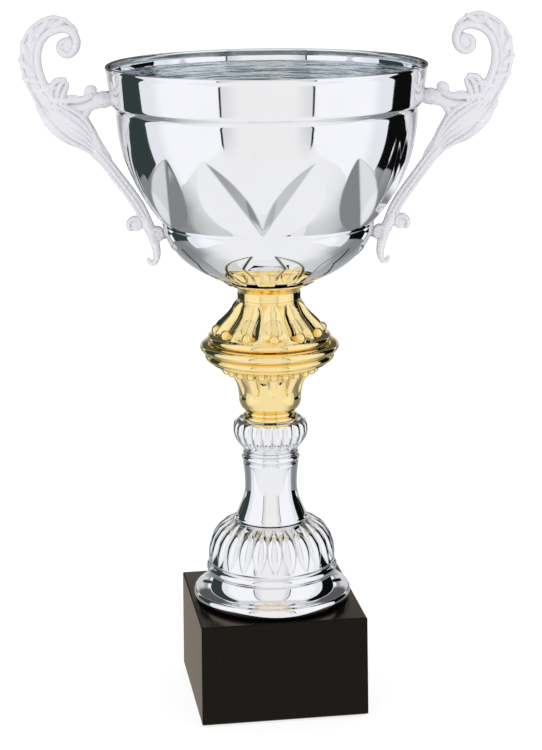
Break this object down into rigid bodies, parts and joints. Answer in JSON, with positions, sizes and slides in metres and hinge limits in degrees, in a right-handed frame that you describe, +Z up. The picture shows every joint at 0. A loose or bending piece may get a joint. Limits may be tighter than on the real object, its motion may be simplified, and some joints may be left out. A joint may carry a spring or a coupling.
{
  "type": "cup trophy",
  "caption": "Two-handled cup trophy: silver bowl on a gold and silver turned stem, clear scroll handles and a dark marble block.",
  "frame": {"origin": "centre of the underside, where the stem's axis meets the surface the trophy stands on", "axes": "+Z up the stem's axis, handles along X, front along -Y"},
  "size_m": [0.2446, 0.1598, 0.3349],
  "materials": {
    "silver": "polished chrome plate",
    "gold": "polished gold plate",
    "marble": "polished dark brown-black marble",
    "handle": "frosted clear plastic casting",
    "steel": "zinc-plated steel",
    "pad": "matt black"
  },
  "bodies": {
    "root": {"marble_base": "marble", "base_pad_1": "pad", "base_pad_2": "pad", "base_pad_3": "pad", "base_pad_4": "pad", "base_washer": "steel", "base_nut": "steel", "foot": "silver", "stem_column": "silver", "stem_collar": "silver", "stem_knop": "silver", "gold_cup": "gold", "gold_bell": "gold", "gold_crown": "gold", "bowl": "silver", "bowl_washer": "steel", "bowl_nut": "steel", "tie_rod": "steel", "handle_right": "handle", "handle_left": "handle", "handle_screw_left_upper": "steel", "handle_screw_left_lower": "steel", "handle_screw_right_upper": "steel", "handle_screw_right_lower": "steel", "screw_washer_left_upper": "steel", "screw_washer_left_lower": "steel", "screw_washer_right_upper": "steel", "screw_washer_right_lower": "steel"}
  },
  "joints": []
}
